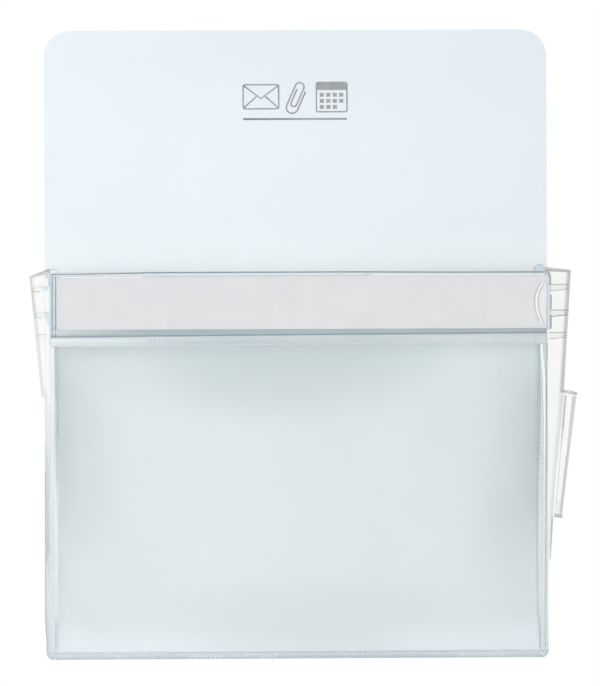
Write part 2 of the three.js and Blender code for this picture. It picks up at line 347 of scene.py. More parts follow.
def front_painted_shade(n, tint):
    """Painted shade and light in the front film's tint: painted shade towards its welded sides, the card's painted
    shadow under the label, a painted pool of light in its middle, and painted light that clears its foot.
    """
    x, z = n.axis("X"), n.axis("Z")
    off = n.maths("ABSOLUTE", x)
    sway = n.span(n.noise(9.0, 2.0), 0.3, 0.7, -0.008, 0.008)

    def spot(cx, cz, width, height, most):
        """A soft oval, at its most in its middle."""
        wide = n.maths("DIVIDE", n.plus(n.minus(x, cx), sway), width)
        tall = n.maths("DIVIDE", n.minus(z, cz), height)
        return n.span(n.plus(n.square(wide), n.square(tall)), 0.0, 1.0, most, 0.0)

    # Painted shade towards the welded sides, deeper on the right.
    left = n.times(n.span(n.minus(sway, x), 0.082, 0.114, 0.0, 0.6), n.span(z, -0.030, 0.0, 1.0, 0.2))
    right = n.times(n.span(n.plus(x, sway), 0.080, 0.113, 0.0, 0.85), n.span(z, -0.030, 0.0, 1.0, 0.45))
    # The card's painted shadow below the label.
    label_shadow = n.larger(spot(-0.008, 0.006, 0.098, 0.048, 1.0), spot(-0.085, 0.0, 0.05, 0.038, 0.3))
    # deep: the share of painted shade.
    deep = n.larger(n.larger(left, right), label_shadow)
    inside = n.times(n.span(off, 0.1142, 0.1150, 1.0, 0.0), n.span(z, 0.0005, 0.0035, 1.0, 0.0))
    low = n.span(z, -0.118, -0.068, 0.3, 1.0)
    # lit: the tint with a painted pool of light in the film's middle.
    lit = n.blend(spot(0.02, -0.092, 0.10, 0.05, 1.0), tint, (0.953, 0.966, 0.955))
    depth = n.blend(n.span(x, -0.09, -0.05, 1.0, 0.0), (0.842, 0.859, 0.843), (0.862, 0.858, 0.842))
    shaded = n.blend(n.times(deep, n.times(inside, low)), lit, depth)
    # Painted shade along the weld ridges, and a little deeper low in the middle.
    rim = n.times(n.span(off, 0.1045, 0.1135, 0.0, 1.0), inside)
    rim = n.times(rim, n.larger(spot(0.0, -0.056, 0.2, 0.046, 0.8), spot(0.115, -0.05, 0.05, 0.042, 0.95)))
    shaded = n.blend(n.larger(rim, spot(0.0, -0.127, 0.085, 0.017, 0.14)), shaded, (0.79, 0.81, 0.80))
    # Painted light clears the film at its foot; beyond its welds the film is clear.
    foot_z = n.plus(z, n.times(sway, 0.5))
    foot = n.times(n.span(foot_z, -0.143, -0.129, 1.0, 0.0), n.span(off, 0.02, 0.075, 0.0, 0.8))
    return n.blend(n.larger(foot, n.minus(1.0, inside)), shaded, (0.992, 0.994, 0.992))


def veil_shade(n, tint):
    """The side welds look deeper at the left one's foot and at the right one's middle."""
    z = n.axis("Z")
    left, right = n.sides(1.0, 0.0), n.sides(0.0, 1.0)
    foot = n.times(n.span(z, -0.105, -0.08, 1.0, 0.0), left)
    middle = n.times(n.span(z, -0.07, -0.055, 0.0, 1.0), n.span(z, -0.03, -0.015, 1.0, 0.0))
    low = n.times(n.span(z, -0.095, -0.06, 1.0, 0.0), right)
    tint = n.blend(low, n.blend(foot, tint, (0.958, 0.948, 0.956)), (0.955, 0.995, 1.0))
    return n.blend(n.times(middle, right), tint, (0.935, 0.948, 0.955))


def channel_shade(n, tint):
    """The window's lower fold is clearer at its left end."""
    return n.blend(n.span(n.axis("X"), -0.112, -0.065, 1.0, 0.0), tint, (0.97, 0.98, 0.985))


def weld_painted_glint(n):
    """Painted glint: the label's weld glints at its left end, and a little towards its right."""
    x = n.axis("X")
    return n.plus(n.span(x, -0.105, -0.035, 0.36, 0.0), n.span(x, 0.03, 0.07, 0.0, 0.15))


def foot_shade(n, tint):
    """The bottom weld is clearer towards its ends."""
    off = n.maths("ABSOLUTE", n.axis("X"))
    return n.blend(n.span(off, 0.055, 0.085, 0.0, 0.7), tint, (0.94, 0.95, 0.955))


# Opaque: the sheet and what is fixed to it, the card, the print
SHEET = solid(
    "sheet_satin", (0.80, 0.872, 0.91), (0.83, 0.90, 0.94), 9.0, (0.36, 0.5), 2600.0, (0.12, 0.00004),
    shade=sheet_painted_light,
)
MAGNET = solid(
    "magnet_rubber", (0.028, 0.025, 0.023), (0.05, 0.044, 0.04), 60.0, (0.7, 0.9), 1800.0, (0.35, 0.00012),
    stretch=(0.15, 1.0, 1.0),
)
TAPE = solid("tape_cream", (0.74, 0.66, 0.48), (0.82, 0.76, 0.6), 80.0, (0.5, 0.65), 1500.0, (0.2, 0.00006))
CARD = solid("card_paper", (0.87, 0.875, 0.885), (0.90, 0.905, 0.91), 120.0, (0.8, 0.95), 3000.0, (0.3, 0.00005))
INK = solid("print_ink", (0.32, 0.33, 0.345), (0.38, 0.39, 0.40), 300.0, (0.5, 0.65), 3000.0, (0.2, 0.00002))

# Lines, from dark to white
LINE_DARK = edge("film_edge_dark", (0.25, 0.33, 0.38), (0.31, 0.39, 0.44))
LINE_BLUE = edge("film_edge_blue", (0.37, 0.46, 0.57), (0.45, 0.54, 0.64))
LINE_STEEL = edge("film_edge_steel", (0.36, 0.43, 0.48), (0.43, 0.50, 0.55))
LINE_MID = edge("film_edge_mid", (0.47, 0.55, 0.58), (0.55, 0.62, 0.65))
LINE_GREY = edge("film_edge_grey", (0.55, 0.55, 0.545), (0.62, 0.62, 0.61))
LINE_SOFT = edge("film_edge_soft", (0.56, 0.63, 0.65), (0.64, 0.70, 0.72))
LINE_SKY = edge("film_edge_sky", (0.62, 0.71, 0.80), (0.70, 0.78, 0.86))
LINE_FAINT = edge("film_edge_faint", (0.70, 0.71, 0.71), (0.78, 0.78, 0.78))
LINE_PALE = edge("film_edge_pale", (0.70, 0.74, 0.76), (0.78, 0.81, 0.83))
# White lines are painted highlights, where edges, folds and welds catch the light.
LINE_HIGHLIGHT = edge("film_edge_highlight", (0.92, 0.94, 0.95), (0.97, 0.98, 0.985))

# Films of the front and the label window
FRONT = film("front_film_clear", (0.938, 0.951, 0.936), (0.88, 0.91, 0.91), 0.03, shade=front_painted_shade)
WINDOW = film("window_film_clear", (0.930, 0.933, 0.940), (0.88, 0.88, 0.9), 0.03)
# The channel has a painted glint at its left end, where channel_shade also clears it.
CHANNEL = film(
    "window_channel", (0.82, 0.865, 0.89), (0.56, 0.645, 0.70), 0.12, shade=channel_shade,
    glare=lambda n: n.span(n.axis("X"), -0.116, -0.06, 0.25, 0.0),
)
FLANGE = film("film_flange", (0.76, 0.81, 0.855), (0.66, 0.73, 0.80), 0.30)

# Films of the welds
WELD_ROUGH = (0.2, 0.35)
# The side welds' film has a painted glint low on the right.
VEIL = film(
    "film_veil", (0.985, 0.99, 0.993), (0.92, 0.95, 0.965), 0.05, shade=veil_shade,
    glare=lambda n: n.times(n.span(n.axis("Z"), -0.085, -0.06, 0.2, 0.0), n.sides(0.0, 1.0)),
)
WELD = film(
    "weld_film_ribbed", (0.922, 0.965, 0.972), (0.82, 0.86, 0.87), 0.2, rough=WELD_ROUGH, glare=weld_painted_glint,
)
# Painted highlights: the crest film is paler on the sharp ribs' crests and along the label weld's top, and the rib
# film glints more on the side welds' crests.
CREST_HIGHLIGHT = film("weld_film_crest_highlight", (0.97, 0.98, 0.98), (0.93, 0.955, 0.965), 0.22, 0.3, WELD_ROUGH)
RIB_GLOSS = film(
    "weld_film_rib", (0.985, 0.988, 0.99), (0.93, 0.955, 0.965), 0.04, rough=WELD_ROUGH,
    glare=lambda n: n.sides(0.06, 0.1),
)
# Painted highlights: the glare and halo films are hazy and glint strongly, laid in strips where the welds look
# bright.
GLARE = film(
    "weld_film_glare", (0.985, 0.99, 0.992), (0.975, 0.988, 0.992), 0.5,
    glare=lambda n: n.span(n.axis("Z"), -0.09, -0.03, 0.05, 0.75),
)
HALO = film(
    "weld_film_halo", (0.985, 0.99, 0.992), (0.955, 0.97, 0.97), 0.2,
    glare=lambda n: n.span(n.axis("Z"), -0.06, -0.005, 0.4, 0.62),
)
RIDGE = film("weld_ridge_film", (0.785, 0.818, 0.832), (0.66, 0.71, 0.73), 0.1)
FOLD = film("fold_film_teal", (0.90, 0.962, 0.965), (0.72, 0.80, 0.81), 0.2, 0.15, WELD_ROUGH)
FOOT = film("foot_weld_film", (0.85, 0.865, 0.87), (0.70, 0.735, 0.75), 0.3, 0.15, WELD_ROUGH, shade=foot_shade)
FOOT_PALE = film("foot_weld_film_pale", (0.94, 0.948, 0.952), (0.80, 0.83, 0.85), 0.2, 0.15, WELD_ROUGH)
REAR = film("rear_weld_film", (0.99, 0.992, 0.994), (0.88, 0.92, 0.94), 0.04)

# Films of the gussets
# The left gussets' film is clearer than the right ones': painted light on the side the light falls from.
GUSSET = film(
    "gusset_film_clear", (0.964, 0.965, 0.955), (0.9, 0.9, 0.89), 0.03,
    shade=lambda n, tint: n.blend(n.sides(1.0, 0.0), tint, (0.990, 0.992, 0.986)),
)
FAINT = film("gusset_film_faint", (0.995, 0.996, 0.993), (0.9, 0.9, 0.89), 0.01, 0.1)
CREASE = film("gusset_crease", (0.755, 0.757, 0.757), (0.66, 0.67, 0.67), 0.1)
CREASE_PALE = film("gusset_crease_pale", (0.925, 0.927, 0.927), (0.80, 0.81, 0.80), 0.06)
BLUE = film("gusset_film_blue", (0.87, 0.935, 0.97), (0.85, 0.92, 0.97), 0.15)
# SHINE is a painted highlight: hazy film with a strong glint.
SHINE = film("gusset_film_shine", (0.99, 0.99, 0.985), (0.97, 0.97, 0.955), 0.2, glare=lambda n: 0.85)


# ---------------------------------------------------------------- CAD nodes that stay

def dress(node, material, bevel):
    """Gives a CAD node its material and a small bevel."""
    obj = frame["nodes"][node]
    obj.data.materials.clear()
    obj.data.materials.append(material)
    mod = obj.modifiers.new("edge", "BEVEL")
    mod.width = bevel * MM
    mod.segments = 2
    mod.limit_method = "ANGLE"
    mod.angle_limit = math.radians(50)


dress("back_sheet", SHEET, 0.3)
for height in ("upper", "middle", "lower"):
    dress(height + "_magnet", MAGNET, 0.15)
    dress(height + "_tape", TAPE, 0.04)


# ---------------------------------------------------------------- print on the back sheet

INK_HEIGHT = 0.03
SIGNS_LEFT = -25.0
SIGNS_RIGHT = 24.6
CORNER = 0.8
CLIP_MIDDLE = (0.6, 118.0)
CLIP_TURN = math.radians(-24)


def arc(cx, cz, radius, start, end, n=10):
    """Points of an arc in the sheet's plane, angles in degrees."""
    turns = [math.radians(a) for a in spread(start, end, n)]
    return [(cx + radius * math.cos(t), cz + radius * math.sin(t)) for t in turns]


def paper_clip():
    """Points of a paper clip's wire, turned about its middle."""
    wire = [(-1.4, 121.5)] + arc(0.0, 114.6, 1.4, 180, 360) + arc(-0.7, 123.0, 2.1, 0, 180)
    wire += arc(0.0, 112.6, 2.8, 180, 360) + [(2.8, 122.0)]
    middle_x, middle_z = CLIP_MIDDLE
    c, n = math.cos(CLIP_TURN), math.sin(CLIP_TURN)
    return [(middle_x + x * c - (z - middle_z) * n, middle_z + x * n + (z - middle_z) * c) for x, z in wire]


def print_marks():
    """Plain office signs in grey ink: an envelope, a paper clip and a calendar leaf over a rule."""
    skin = Skin()
    y = BACK_FRONT - INK_HEIGHT

    def stroke(points, half=0.33):
        skin.bead([(x, y, z) for x, z in points], half, INK_HEIGHT, INK)

    def patch(x0, z0, x1, z1):
        skin.grid([[Vector((x, y - 0.02, z)) for x in spread(x0, x1, 3)] for z in spread(z0, z1, 3)], INK)

    def outline(x0, z0, x1, z1, r):
        path = arc(x1 - r, z1 - r, r, 0, 90, 5) + arc(x0 + r, z1 - r, r, 90, 180, 5)
        path += arc(x0 + r, z0 + r, r, 180, 270, 5) + arc(x1 - r, z0 + r, r, 270, 360, 5)
        stroke(path + path[:1])

    outline(SIGNS_LEFT, 112.5, -8.0, 124.0, CORNER)
    stroke([(-24.6, 123.4), (-16.5, 117.4), (-8.4, 123.4)])
    stroke([(-24.6, 113.1), (-18.6, 118.4)])
    stroke([(-8.4, 113.1), (-14.4, 118.4)])

    stroke(paper_clip(), 0.36)

    outline(10.0, 111.0, SIGNS_RIGHT, 125.0, CORNER)
    patch(10.0, 121.4, SIGNS_RIGHT, 125.0)
    for row in range(3):
        for column in range(4):
            if (row, column) != (2, 3):
                x = 11.6 + 3.1 * column
                z = 118.2 - 2.9 * row
                patch(x, z, x + 2.0, z + 1.8)
    stroke([(SIGNS_LEFT, 107.6), (SIGNS_RIGHT, 107.6)], 0.45)
    skin.piece("sheet_print", "back", "white_sheet")


print_marks()


# ---------------------------------------------------------------- front film

FREE_TOP = 147.0             # the film is free between the foot, the side welds and the label's weld
FREE_HALF = 113.2
EDGE_X = 118.4


def belly(x, s):
    """How far the front film bows outward between its welds."""
    t = max(0.0, min(1.0, s / FREE_TOP))
    return 1.4 * smooth((FREE_HALF - abs(x)) / 60) * math.sin(math.pi * t) ** 0.8


def ripple(x, s):
    """Slow waves of the free film."""
    free = smooth(s / 20) * smooth((FREE_TOP - s) / 20) * smooth((FREE_HALF - abs(x)) / 12)
    return 0.12 * math.sin(x / 17 + 0.6) * math.sin(s / 23 + 1.1) * free


def film_edge(side, s):
    """X of the front film's cut edge without its sign: it widens towards the foot, more so on the left."""
    if side > 0:
        return EDGE_X + 0.45 * smooth((120 - s) / 80)
    return EDGE_X + 1.98 * smooth((143 - s) / 38) - 0.8 * smooth((16 - s) / 16)


def front_film():
    """The clear front of the pocket."""
    skin = Skin()
    rows = []
    for s in spread(0.0, POCKET_LENGTH - 0.3, 91):
        places = spread(-film_edge(-1, s), film_edge(1, s), 81)
        rows.append([front_at(x, -0.25 - belly(x, s) - ripple(x, s), s) for x in places])
    skin.grid(rows, FRONT)
    skin.piece("front_film_sheet", "front", "front_film", "front_film")


front_film()


# ---------------------------------------------------------------- fine ribs of the weld bands

RIB = 1.91
RIB_STEPS = 10
SHARP_RIB = 0.035
FAINT_RIB = 0.004


def rib_places(a, b):
    """Places along a band, RIB_STEPS of them to a rib."""
    return spread(a, b, int((b - a) / RIB * RIB_STEPS) + 1)


def rib_wave(at):
    """1 on a rib's crest and -1 in the groove beside it."""
    return math.sin(2 * math.pi * at / RIB)


def is_sharp(at, spans):
    """Whether a place lies in a stretch where the ribs are pressed sharply."""
    return any(a < at < b for a, b in spans)


def rib(at, share, spans):
    """Height of a rib: pressed sharply in some stretches and faintly in the rest."""
    return (SHARP_RIB if is_sharp(at, spans) else FAINT_RIB) * rib_wave(at) * share


def is_crest(at, spans):
    """Whether a place lies on the crest of a sharp rib."""
    return rib_wave(at) > 0.2 and is_sharp(at, spans)


# ---------------------------------------------------------------- label window

WINDOW_LEFT = -117.6
WINDOW_RIGHT = 118.0
NOTCH_APEX = 114.0           # the thumb scallop's farthest place from the edge
NOTCH_CENTRE_S = 166.6
NOTCH_RADIUS = 16.6
# The window's section: y, s, and the film from there on
PROFILE = [
    (-0.80, 151.2, CHANNEL), (-1.10, 151.6, CHANNEL), (-1.45, 152.1, CHANNEL), (-1.70, 152.8, CHANNEL),
    (-1.80, 153.7, CHANNEL), (-1.78, 154.4, WINDOW), (-1.70, 156.5, WINDOW), (-1.64, 160.0, WINDOW),
    (-1.62, 164.0, WINDOW), (-1.61, 168.0, WINDOW), (-1.62, 172.0, WINDOW), (-1.64, 176.0, WINDOW),
    (-1.70, 179.0, WINDOW), (-1.74, 180.2, WINDOW), (-1.70, 181.0, WINDOW), (-1.45, 181.6, WINDOW),
    (-1.05, 181.9, WINDOW), (-0.50, 181.95, WINDOW), (0.0, 181.8, WINDOW),
]
PROFILE_STEP = 0.6
# The weld band below it: s, and the share of the ribs' height
WINDOW_BAND = [
    (147.1, 0.0), (147.5, 0.0), (148.1, 0.6), (148.9, 1.0), (149.9, 1.0), (150.5, 1.0), (150.9, 1.0), (151.4, 1.0),
]
WINDOW_RIBS = [(-72, -40), (-8, 62), (92, 116)]
# The card's section: y, s
CARD_LOOP = [(-1.1, 154.45), (-1.12, 154.6), (-1.12, 179.2), (-1.1, 179.35), (-0.84, 179.35), (-0.84, 154.45)]
CARD_LEFT = -114.9
CARD_LENGTH = 233.2


def notch_edge(s, back=0.0):
    """X of the window film's right edge, cut by the thumb scallop."""
    chord = NOTCH_RADIUS ** 2 - (s - NOTCH_CENTRE_S) ** 2
    if chord <= 0:
        return WINDOW_RIGHT
    return min(WINDOW_RIGHT, NOTCH_APEX - back + NOTCH_RADIUS - math.sqrt(chord))


def fine_profile():
    """The window's section in small steps."""
    rows = []
    for (y0, s0, look), (y1, s1, _) in zip(PROFILE, PROFILE[1:]):
        steps = max(1, int(abs(s1 - s0) / PROFILE_STEP))
        rows += [(y0 + (y1 - y0) * i / steps, s0 + (s1 - s0) * i / steps, look) for i in range(steps)]
    return rows + PROFILE[-1:]


def line_rise(x, s=0.0):
    """The window's lower lines rise a little to the right, and its film follows them at its foot."""
    return 0.0048 * x * smooth((154.4 - s) / 2.2)


def mouth_line(x):
    """S of the line along the mouth, which drops a little at both ends."""
    return 181.6 - 0.7 * smooth((-x - 60) / 56) - 0.35 * smooth((x - 20) / 60)


def label_window():
    """The window: its folded film, the weld band below, the pressed lines, the end stop and the thumb scallop."""
    skin = Skin()
    rows = fine_profile()

    def row(y, s):
        return [front_at(x, y, s + line_rise(x, s)) for x in spread(WINDOW_LEFT, notch_edge(s), 61)]

    skin.grid([row(y, s) for y, s, _ in rows], zone=lambda i, k: rows[i][2])

    places = rib_places(WINDOW_LEFT, WINDOW_RIGHT)

    def band_zone(i, k):
        # Painted highlight: paler film on the ribs' crests and the band's top rows.
        return CREST_HIGHLIGHT if i > 4 or i >= 2 and is_crest(places[k], WINDOW_RIBS) else WELD

    skin.grid([[front_at(x, -0.72 - 0.12 * share - rib(x, share, WINDOW_RIBS), s + line_rise(x)) for x in places]
               for s, share in WINDOW_BAND], zone=band_zone)

    def band_line(x):
        return 147.05 + line_rise(x)

    def fold_line(x):
        return 151.75 + line_rise(x)

    skin.level(band_line, -0.75, WINDOW_LEFT, WINDOW_RIGHT, 61, 0.2, 0.2, LINE_PALE)
    skin.level(fold_line, -1.15, WINDOW_LEFT, WINDOW_RIGHT, 61, 0.27, 0.24, LINE_DARK)
    skin.level(mouth_line, -0.95, WINDOW_LEFT, WINDOW_RIGHT, 61, 0.3, 0.3, LINE_DARK)

    # Painted highlights: white lines below the mouth line, towards both ends, where the film's fold catches the light
    skin.level(lambda x: 179.6, -1.76, -113.5, -74.0, 24, 0.32, 0.14, LINE_HIGHLIGHT)
    skin.level(lambda x: 180.1, -1.76, 32.0, 117.4, 24, 0.32, 0.14, LINE_HIGHLIGHT)

    # End stop: two welded lines with a pale strip between them
    skin.upright(lambda s: -116.85, -1.45, 151.6, 180.2, 20, 0.27, 0.3, LINE_DARK)
    skin.upright(lambda s: -115.55, -1.45, 151.6, 180.2, 20, 0.21, 0.3, LINE_DARK)
    skin.grid([[front_at(x, -1.72, s) for x in (-116.7, -115.7)] for s in spread(152.2, 180.0, 12)], LINE_SKY)

    # Scallop: the cut edge, the pressed line beside it and a painted glint between them
    skin.upright(notch_edge, -1.62, 156.4, 176.8, 40, 0.19, 0.26, LINE_PALE)
    skin.grid([[front_at(notch_edge(s, 0.6) + x, -1.84, s) for x in (-0.4, 0.0, 0.4)]
               for s in spread(157.4, 176.4, 40)], SHINE)
    skin.upright(lambda s: notch_edge(s, 1.9), -1.66, 158.2, 175.8, 40, 0.17, 0.2, LINE_PALE)
    skin.piece("label_window_film", "front", "clear_film", "label_window")


def label_card():
    """The paper strip in the window, a little bowed along its length."""
    skin = Skin()
    rings = []
    for x in spread(CARD_LEFT, CARD_LEFT + CARD_LENGTH, 60):
        bow = 0.05 * math.sin(math.pi * (x - CARD_LEFT) / CARD_LENGTH)
        rings.append([front_at(x, y - bow, s) for y, s in CARD_LOOP])
    skin.tube(rings, CARD)
    skin.piece("label_card_paper", "label", "card", "label_card", flat=True)


label_window()
label_card()


# ---------------------------------------------------------------- side welds

# Strips of film on a side weld: material, y, first and last s, knots of (s, x) for the centre line without its sign,
# and knots of (s, half-width)
# The GLARE and HALO strips are painted highlights.
RIGHT_STRIPS = [
    (RIDGE, -0.5, 0.2, 146.8,
     [(0, 115.9), (7, 115.6), (24, 114.6), (43, 114.3), (72, 114.3), (110, 114.8), (147, 114.65)],
     [(0, 0.6), (30, 0.4), (75, 0.4), (110, 0.9), (147, 0.95)]),
    (GLARE, -0.62, 1.0, 146.8,
     [(0, 116.8), (8, 117.0), (25, 117.4), (72, 117.5), (110, 117.6), (129, 117.3), (147, 115.9)],
     [(0, 0.45), (72, 0.4), (110, 0.42), (129, 0.55), (147, 0.5)]),
    (GLARE, -0.62, 0.3, 84.0,
     [(0, 119.2), (74, 119.25)],
     [(0, 0.35), (20, 0.5), (70, 0.5), (84, 0.2)]),
]
LEFT_STRIPS = [
    (RIDGE, -0.5, 70.0, 146.8,
     [(70, 115.0), (92, 114.95), (110, 114.7), (130, 114.8), (147, 115.0)],
     [(70, 0.1), (92, 0.5), (112, 0.85), (147, 0.9)]),
    (HALO, -0.66, 80.0, 147.0,
     [(80, 117.4), (147, 117.1)],
     [(80, 0.3), (105, 1.0), (147, 1.15)]),
    (GLARE, -0.62, 8.0, 82.0,
     [(12, 116.2), (24, 115.85), (38, 115.6), (53, 115.9), (72, 116.1)],
     [(8, 0.15), (20, 0.75), (40, 0.9), (60, 0.7), (82, 0.15)]),
    (FOLD, -0.55, 0.3, 18.0,
     [(0, 115.1), (18, 114.9)],
     [(0, 0.5), (8, 0.7), (18, 0.15)]),
    (HALO, -0.66, 90.0, 140.0,
     [(90, 119.0), (104, 119.3), (120, 118.9), (140, 118.2)],
     [(90, 0.2), (102, 0.95), (120, 0.85), (140, 0.25)]),
]
# The film's rolled corners at the mouth: x, s
RIGHT_CORNER = [(118.9, 181.2), (119.3, 180.3), (119.8, 179.0), (120.1, 177.6), (120.0, 176.2), (119.8, 175.0)]
LEFT_CORNER = [(-117.5, 181.0), (-118.1, 180.0), (-118.5, 178.6), (-118.6, 177.2), (-118.3, 175.8), (-117.9, 174.8)]
# Share of the ribs' height across the weld, from its inner line to the film's edge
PRESS = [0.0, 0.3, 0.8, 1.0, 1.0, 0.7, 0.0, 0.0]


def weld_places(side, s):
    """X of the places across a side weld, one for each share in PRESS, without their sign."""
    outer = film_edge(side, s) - 0.1
    if side > 0:
        return [114.9, 115.3, 115.6, 116.1, 116.6, 117.0, 117.5, outer]
    return [115.4] + [outer - inset for inset in (2.6, 2.2, 1.6, 0.9, 0.5, 0.3, 0.0)]


def right_lines(skin):
    """The right weld's lines, and the margin of the film that turns over the gusset beside the label."""
    def outer_line(s):
        return 118.83 - 0.0035 * s + 0.35 * smooth((s - 132) / 12)

    skin.upright(lambda s: 114.75, -0.5, 92.0, 146.8, 60, 0.3, 0.2, LINE_MID)
    skin.upright(outer_line, -0.55, 72.0, 112.0, 36, 0.28, 0.25, LINE_MID)
    skin.upright(outer_line, -0.55, 111.5, 147.0, 36, 0.28, 0.25, LINE_STEEL)
    skin.upright(lambda s: 118.32 + 0.0013 * s, -0.55, 0.5, 74.0, 50, 0.15, 0.2, LINE_MID)
    skin.grid([[front_at(x, -0.6 + 0.25 * (x - 118), s) for x in spread(118.3, 120.5, 6)]
               for s in spread(153.4, 181.2, 20)], FLANGE)
    for a, b in ((154.0, 160.6), (163.5, 170.0)):
        skin.upright(lambda s: 120.35, -0.1, a, b, 12, 0.48, 0.3, LINE_BLUE)
    skin.bead([front_at(x, -0.3, s) for x, s in RIGHT_CORNER], 0.45, 0.3, LINE_STEEL)


def left_lines(skin):
    """The left weld's lines, with a painted highlight at its foot. Its cut edge is grey at the foot and white beside
    the label, a painted highlight.
    """
    skin.upright(lambda s: -116.75 + 0.03 * s, -0.64, 0.6, 15.0, 12, 0.28, 0.2, LINE_HIGHLIGHT)
    for a, b, half, look in ((0.2, 86.0, 0.28, LINE_GREY), (85.6, 100.0, 0.24, LINE_PALE),
                             (99.6, 180.5, 0.14, LINE_HIGHLIGHT)):
        skin.upright(lambda s: -film_edge(-1, s), -0.25, a, b, 48, half, 0.2, look)
    skin.bead([front_at(x, -0.4, s) for x, s in LEFT_CORNER], 0.5, 0.3, LINE_SKY)


def side_weld(side, name):
    """The front film's ribbed weld strip, between an inner ridge and the film's cut edge."""
    skin = Skin()
    if side > 0:
        strips, lines, sharp = RIGHT_STRIPS, right_lines, [(84, 121)]
    else:
        strips, lines, sharp = LEFT_STRIPS, left_lines, [(19, 47)]
    steps = rib_places(0.4, 146.6)

    def zone(i, k):
        # Painted highlight: glossier film on the sharp ribs' crests.
        return RIB_GLOSS if 1 <= k <= 4 and is_crest(steps[i], sharp) else VEIL

    skin.grid([[front_at(side * x, -0.45 - rib(s, share, sharp), s) for x, share in zip(weld_places(side, s), PRESS)]
               for s in steps], zone=zone)
    for look, y, first, last, centre, half in strips:
        rows = []
        for s in spread(first, last, 60):
            x, w = along_path(centre, s), along_path(half, s)
            rows.append([front_at(side * (x + w * t), y, s) for t in (-1.0, -0.4, 0.4, 1.0)])
        skin.grid(rows, look)
    lines(skin)
    skin.piece(f"{name}_weld_strip", "front", "weld_film", f"{name}_front_weld")


def rear_weld(side, name, top, corner_look):
    """The gusset film's weld on the back sheet, with its round upper corner standing above the mouth."""
    skin = Skin()
    y = BACK_FRONT - 0.18
    radius = 2.6
    corner_foot = 32.5
    heights = spread(-140.0, top, 90)

    def inner(z):
        share = max(0.0, (z - top + radius) / radius)
        return 113.8 + radius * (1 - math.sqrt(max(0.0, 1 - share ** 2)))

    skin.grid([[Vector((side * (inner(z) + (POCKET_HALF - inner(z)) * t), y, z)) for t in spread(0.0, 1.0, 5)]
               for z in heights], zone=lambda i, k: corner_look if heights[i] > corner_foot else REAR)
    skin.bead([(side * inner(z), y, z) for z in spread(corner_foot, top, 20)], 0.2, 0.15, LINE_SOFT)
    skin.bead([(side * x, y, top) for x in spread(116.4, POCKET_HALF, 6)], 0.2, 0.15, LINE_SOFT)
    skin.piece(f"{name}_rear_weld_strip", "back", "weld_film", f"{name}_rear_weld")


for sign, word in SIDES:
    side_weld(sign, word)
rear_weld(-1, "left", 36.2, VEIL)
rear_weld(1, "right", 37.6, BLUE)


# ---------------------------------------------------------------- bottom weld

# The band's section: y, z, and the share of the ribs' height
FOOT_PROFILE = [
    (-2.2, -149.9, 0), (-2.9, -149.9, 0), (-3.15, -149.6, 0), (-3.2, -149.2, 0.5), (-3.2, -148.7, 1),
    (-3.2, -147.9, 1), (-3.2, -147.4, 0.5), (-3.15, -147.0, 0), (-3.0, -146.5, 0), (-2.2, -146.3, 0),
]
FOOT_RIBS = [(-88.5, -84.5), (-50, -10), (76, 98)]
FOOT_HALF = 119.7
FOOT_CORNER = 3.5
FOOT_EDGE_Z = -149.75
CORNER_Z = -146.5            # the sheet's corners turn below this


def foot_half(z):
    """Half the band's length, which follows the sheet's round corners."""
    return FOOT_HALF - FOOT_CORNER + math.sqrt(max(0.0, FOOT_CORNER ** 2 - max(0.0, CORNER_Z - z) ** 2))


def bottom_weld():
    """The ribbed band along the foot, out to the sheet's outline and round its corners."""
    skin = Skin()
    places = rib_places(-POCKET_HALF, POCKET_HALF)

    def zone(i, k):
        # Painted highlight: paler film on the sharp ribs' crests; the band's upper rows are paler too.
        return FOOT_PALE if i > 4 or i >= 2 and is_crest(places[k], FOOT_RIBS) else FOOT

    skin.grid([[Vector((x * foot_half(z) / POCKET_HALF, y - rib(x, share, FOOT_RIBS), z)) for x in places]
               for y, z, share in FOOT_PROFILE], zone=zone)
    for a, b, look in ((-119.5, -62.0, LINE_PALE), (-62.0, 70.0, LINE_SOFT), (70.0, 119.5, LINE_PALE)):
        skin.bead([(x, -3.1, -147.1 + 0.002 * max(0.0, x)) for x in spread(a, b, 24)], 0.13, 0.2, look)
    # Painted highlights: short white lines across both lower corners.
    for side, _ in SIDES:
        dash = [(side * x, -3.3, z) for x, z in ((115.6, -146.6), (116.6, -147.6), (117.9, -149.0))]
        skin.bead(dash, 0.22, 0.15, LINE_HIGHLIGHT)
    corner = [CORNER_Z, -147.3, -148.1, -148.8, -149.3, -149.6, FOOT_EDGE_Z]
    rim = [(-foot_half(z), -3.0, z) for z in corner]
    rim += [(x, -3.0, FOOT_EDGE_Z) for x in spread(-117.0, 117.0, 61)]
    rim += [(foot_half(z), -3.0, z) for z in reversed(corner)]
    skin.bead(rim, 0.22, 0.22, LINE_SOFT)
    skin.piece("bottom_weld_band", "back", "weld_film", "bottom_weld")


bottom_weld()


# ---------------------------------------------------------------- gussets

FILM_START = 26.0            # foot of the leaves' film at the fold lines
FOOT_RISE = 22.0             # how much higher it is at the crease
LEAST_REACH = 1.7
# Three hems across each leaf: the solids' tops, how far above them the lines stand, and the tones of the upper and
# lower lines
HEMS = [LEAF_MOUTH - drop for drop in (6.8, 18.5, 29.3)]
HEM_RISES = (0.9, 0.3, 0.4)
HEM_HEIGHT = 3.3
RIGHT_TONES = ((LINE_FAINT, LINE_FAINT), (LINE_MID, LINE_STEEL), (LINE_FAINT, LINE_FAINT))
LEFT_TONES = ((LINE_HIGHLIGHT, LINE_MID), (LINE_HIGHLIGHT, LINE_FAINT), (LINE_FAINT, LINE_HIGHLIGHT))


